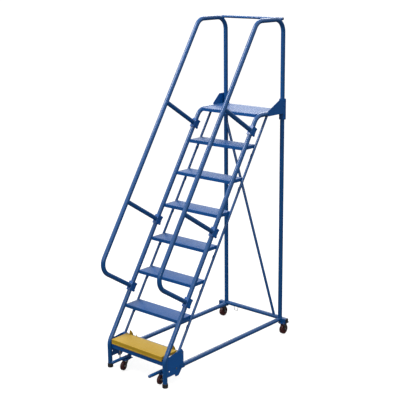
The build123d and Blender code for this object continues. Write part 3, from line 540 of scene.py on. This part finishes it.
def bevelled(piece, width, steps, angle=30):
    startFresh()
    piece.select_set(True)
    bpy.context.view_layer.objects.active = piece
    rounding = piece.modifiers.new("round", "BEVEL")
    rounding.width = width
    rounding.segments = steps
    rounding.limit_method = "ANGLE"
    rounding.angle_limit = math.radians(angle)
    bpy.ops.object.modifier_apply(modifier=rounding.name)


# a moulded caster wheel: crowned tread, dished web with eight ribs, and a hub that stands proud
wheelPlan = {"around": 64, "rimShare": 0.74, "rimSink": 0.0006, "rimRound": 0.0016, "shoulder": 0.003,
             "shoulderRound": 0.3, "crown": 0.0001, "dish": 0.0055, "hubProud": 0.0015, "hubRoom": 0.9,
             "bore": 0.0083, "hub": 0.0128, "draft": 0.0015, "ribEvery": 8, "ribHeight": 0.0038,
             "edge": 0.0005, "sameLevel": 0.0002}


def wheelProfile(plan, radius, width):
    half = width / 2
    rim = radius * plan["rimShare"]
    cut = plan["shoulder"] * plan["shoulderRound"]
    side = [
        (plan["bore"], half + plan["hubProud"]),
        (plan["hub"], half + plan["hubProud"]),
        (plan["hub"] + plan["draft"], half - plan["dish"]),
        (rim - plan["draft"], half - plan["dish"]),
        (rim, half - plan["rimSink"]),
        (rim + plan["rimRound"], half),
        (radius - plan["shoulder"], half),
        (radius - cut, half - cut),
        (radius - plan["crown"], half - plan["shoulder"]),
    ]
    return side + [(radius, 0)] + [(out, -along) for out, along in reversed(side)] + side[:1]


def addRibs(piece, plan, radius, width):
    web = width / 2 - plan["dish"]
    rim = radius * plan["rimShare"]
    startFresh()
    bpy.context.view_layer.objects.active = piece
    piece.select_set(True)
    for part in (piece.data.vertices, piece.data.edges, piece.data.polygons):
        part.foreach_set("select", [False] * len(part))
    for face in piece.data.polygons:
        out = math.hypot(face.center.x, face.center.y)
        turn = math.atan2(face.center.y, face.center.x) % (2 * math.pi)
        step = int(turn / (2 * math.pi) * plan["around"])
        onWeb = abs(abs(face.center.z) - web) < plan["sameLevel"] and plan["hub"] < out < rim
        face.select = onWeb and step % plan["ribEvery"] == 0
    bpy.ops.object.mode_set(mode="EDIT")
    bpy.ops.mesh.select_mode(type="FACE")
    bpy.ops.mesh.extrude_region_shrink_fatten(TRANSFORM_OT_shrink_fatten={"value": plan["ribHeight"]})
    bpy.ops.object.mode_set(mode="OBJECT")


def makeWheel(name, node, axle):
    radius = halfSize(node, 2)
    widest = halfSize(node, 0) * 2
    width = (widest - 2 * radius * abs(axle.y)) / abs(axle.x)
    width -= 2 * wheelPlan["hubProud"] * wheelPlan["hubRoom"]
    piece = turned(name, wheelProfile(wheelPlan, radius, width), wheelPlan["around"])
    addRibs(piece, wheelPlan, radius, width)
    bevelled(piece, wheelPlan["edge"], 2)
    turn = axle.to_track_quat("Z", "Y").to_matrix().to_4x4()
    keepPlace(piece, Matrix.Translation(middle(node)) @ turn)
    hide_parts(node)
    dress(piece, "wheel", node)


def makeWheels():
    for joint in frame["joints"]:
        if joint["name"].endswith("_roll"):
            node = joint["child"]
            makeWheel(node.replace("_", "") + "Moulding", node, Vector(joint["axis"]))


makeWheels()
print("wheels moulded")


# a rubber foot: a cup for the tube's end with gripping rings round its lower half
# an edge is pairs: how far in or out from a radius, and how far up or down from a height
footPlan = {"around": 64, "gap": 0.0002, "edge": 0.0004, "edgeAngle": 50,
            "holeShare": 0.35, "soleRise": 0.0006, "soleShare": 0.6,
            "soleEdge": ((0.002, 0), (0.0004, 0.0012)),
            "rings": 3, "firstRing": 0.0045, "ringPitch": 0.0052,
            "ringEdge": ((0, 0), (0.0011, 0.0006), (0.0011, 0.0018), (0, 0.0024)),
            "waistIn": 0.0003, "waistShare": 0.75, "lip": 0.0035, "lipIn": 0.0009,
            "topEdge": ((0.0016, 0.0012), (0.0032, 0)), "mouthEdge": ((0.001, 0), (0, 0.0008))}


def footProfile(plan, radius, height, floorThick):
    inner = tubeR + plan["gap"]
    hole = inner * plan["holeShare"]
    line = [(hole, plan["soleRise"]), (inner * plan["soleShare"], 0)]
    line += [(radius - into, up) for into, up in plan["soleEdge"]]
    for ring in range(plan["rings"]):
        low = plan["firstRing"] + ring * plan["ringPitch"]
        line += [(radius - into, low + up) for into, up in plan["ringEdge"]]
    top = height - plan["lip"]
    line += [(radius - plan["waistIn"], top * plan["waistShare"]), (radius - plan["lipIn"], top)]
    line += [(radius - into, height - down) for into, down in plan["topEdge"]]
    line += [(inner + out, height - down) for out, down in plan["mouthEdge"]]
    return line + [(inner, floorThick), (hole, floorThick), line[0]]


def makeFeet():
    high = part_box("rubber_feet")[1]
    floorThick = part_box("right_stringer")[0][2] - footPlan["gap"]
    profile = footProfile(footPlan, high[0] - railX, high[2], floorThick)
    for side, sign in sides.items():
        foot = turned(side + "RubberFoot", profile, footPlan["around"])
        bevelled(foot, footPlan["edge"], 2, footPlan["edgeAngle"])
        keepPlace(foot, Matrix.Translation((railX * sign, middle("rubber_feet").y, 0)))
        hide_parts("rubber_feet")
        dress(foot, "rubber", "frame")


makeFeet()
print("rubber feet moulded")


# weld beads: a rippled ring that follows the saddle where one tube meets another
weldPlan = {"size": 0.0021, "around": 72, "section": 8, "ripples": 24, "waviness": 0.13, "stand": 0.0004}


def weldRing(centre, branch, main, branchR, mainR):
    startFresh()
    ringR = branchR + weldPlan["stand"]
    bpy.ops.mesh.primitive_torus_add(major_segments=weldPlan["around"], minor_segments=weldPlan["section"],
                                     major_radius=ringR, minor_radius=weldPlan["size"])
    bead = bpy.context.object
    branch = branch.normalized()
    side = main.cross(branch).normalized() if mainR else branch.orthogonal().normalized()
    turn = Matrix((side.cross(branch), side, branch)).transposed()
    for vertex in bead.data.vertices:
        angle = math.atan2(vertex.co.y, vertex.co.x)
        line = Vector((math.cos(angle), math.sin(angle), 0)) * ringR
        swell = 1 + weldPlan["waviness"] * math.sin(weldPlan["ripples"] * angle)
        vertex.co = line + (vertex.co - line) * swell
        if mainR:
            # how far along the branch this point meets the main tube's wall
            point = turn @ line
            flatPoint = point - main * point.dot(main)
            flatBranch = branch - main * branch.dot(main)
            half = flatPoint.dot(flatBranch)
            reach = flatBranch.length_squared
            inside = half * half - reach * (flatPoint.length_squared - mainR * mainR)
            vertex.co.z += (-half + math.sqrt(max(inside, 0))) / reach
    keepPlace(bead, Matrix.Translation(centre) @ turn.to_4x4())
    return bead


# a straight rippled bead, made once and copied to every tread
runPlan = {"ripple": 0.0022, "fewest": 6, "tip": 0.2, "neck": 0.75, "neckAt": 0.02, "ripplesFrom": 0.03}


def weldRun(length, size):
    steps = max(runPlan["fewest"], int(length / runPlan["ripple"]))
    tip = size * runPlan["tip"]
    neck = size * runPlan["neck"]
    start = runPlan["ripplesFrom"]
    profile = [(tip, 0), (neck, length * runPlan["neckAt"])]
    for step in range(1, steps):
        swell = 1 + weldPlan["waviness"] * (1 if step % 2 else -1)
        profile.append((size * swell, length * (start + (1 - 2 * start) * step / steps)))
    profile += [(neck, length * (1 - runPlan["neckAt"])), (tip, length)]
    run = turned("weldRun", profile, weldPlan["section"])
    startFresh()
    run.select_set(True)
    bpy.context.view_layer.objects.active = run
    bpy.ops.object.mode_set(mode="EDIT")
    bpy.ops.mesh.select_mode(type="EDGE")
    bpy.ops.mesh.select_all(action="DESELECT")
    bpy.ops.mesh.select_non_manifold()
    bpy.ops.mesh.edge_face_add()
    bpy.ops.mesh.select_all(action="SELECT")
    bpy.ops.mesh.normals_make_consistent(inside=False)
    bpy.ops.object.mode_set(mode="OBJECT")
    return run


def layRun(run, start, direction):
    copy = ownCopy(run, "weldRun")
    turn = direction.to_track_quat("Z", "Y").to_matrix().to_4x4()
    keepPlace(copy, Matrix.Translation(start) @ turn)
    return copy


# the tubes' joints: heights of the clamps, and how far the handrail stands off the stringer
jointPlan = {"clampHeights": (0.637, 1.145, 1.904), "railReach": 0.416, "plateThick": 0.003}


def frameWelds():
    beads = []
    crossZ = middle("rear_cross_tube").z
    baseZ = middle("right_base_rail").z
    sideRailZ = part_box("right_stringer")[1][2] - tubeR
    for sign in sides.values():
        post = Vector((railX * sign, postY, 0))
        beads.append(weldRing(post + upright * crossZ, -across * sign, upright, tubeR, tubeR))
        beads.append(weldRing(post + upright * baseZ, Vector((0, -1, 0)), upright, tubeR, tubeR))
        beads.append(weldRing(post + upright * sideRailZ, Vector((0, -1, 0)), upright, tubeR, tubeR))
        for height in jointPlan["clampHeights"]:
            foot = onStringer(height, sign) + outward * (tubeR + jointPlan["plateThick"])
            beads.append(weldRing(foot, outward, upright, tubeR, 0))
        for height in jointPlan["clampHeights"][1:]:
            rail = onStringer(height, sign) + outward * jointPlan["railReach"]
            beads.append(weldRing(rail, -outward, climb, tubeR, tubeR))
    braceR = halfSize("rear_brace", 1)
    braceTop, braceFoot = braceEnds(braceR)
    lean = (braceFoot - braceTop).normalized()
    beads.append(weldRing(braceTop, lean, upright, braceR, tubeR))
    beads.append(weldRing(braceFoot, -lean, across, braceR, tubeR))
    return beads


# the brace's centreline runs from the left post's to the cross tube's
def braceEnds(braceR):
    low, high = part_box("rear_brace")
    crossZ = middle("rear_cross_tube").z
    lowEnd = Vector((high[0], postY, crossZ + tubeR))
    highEnd = Vector((-railX + tubeR, postY, high[2]))
    run = (lowEnd - highEnd).normalized()
    square = Vector((-run.z, 0, run.x))
    lowEnd += square * braceR * (-1 if square.x > 0 else 1)
    highEnd += square * braceR * (1 if square.z < 0 else -1)
    run = (lowEnd - highEnd).normalized()
    foot = lowEnd + run * ((crossZ - lowEnd.z) / run.z)
    top = highEnd - run * ((highEnd.x + railX) / run.x)
    return top, foot


# beads where each tread's ends meet the stringers in front and the rear stringers behind
treadWeldPlan = {"first": 2, "last": 7, "size": 0.0019, "lengthShare": 0.86, "rearSetback": 0.157,
                 "frontSpread": 0.0072, "rearSpread": 0.0058, "fromTop": 0.0022, "pastEdge": 0.0009}


def treadWelds():
    beads = []
    plan = treadWeldPlan
    lip = halfSize("tread_2", 2) * 2
    run = weldRun(lip / climb.z * plan["lengthShare"], plan["size"])
    behind = plan["rearSetback"] * climb.z
    spots = ((0.0, plan["frontSpread"]), (behind, plan["rearSpread"]), (behind, -plan["rearSpread"]))
    for number in range(plan["first"], plan["last"] + 1):
        name = "tread_%d" % number
        height = treadFront(name).z - plan["fromTop"]
        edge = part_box(name)[1][0] + plan["pastEdge"]
        for sign in sides.values():
            for setback, spread in spots:
                line = onStringer(height, sign) - outward * (setback + spread)
                line.x = edge * sign
                beads.append(layRun(run, line, -climb))
    bpy.data.objects.remove(run)
    return beads


# a ring at each end of the crossbar, where it meets the handrail
crossbarPlan = {"turn": 54, "sunk": 0.0006, "ringR": 0.0078}


def crossbarWelds():
    beads = []
    barCentre = middle("top_crossbar")
    barR = halfSize("top_crossbar", 1)
    turn = math.radians(crossbarPlan["turn"])
    away = Vector((0, math.cos(turn), math.sin(turn)))
    for sign in sides.values():
        onRail = Vector((railX * sign, barCentre.y, barCentre.z))
        touch = onRail - away * (barR - crossbarPlan["sunk"])
        beads.append(weldRing(touch, away, upright, crossbarPlan["ringR"], 0))
    return beads


def makeWelds():
    beads = joined(frameWelds() + treadWelds() + crossbarWelds(), "frameWeldBeads")
    dress(beads, "tube", "frame")


makeWelds()
print("weld beads laid")
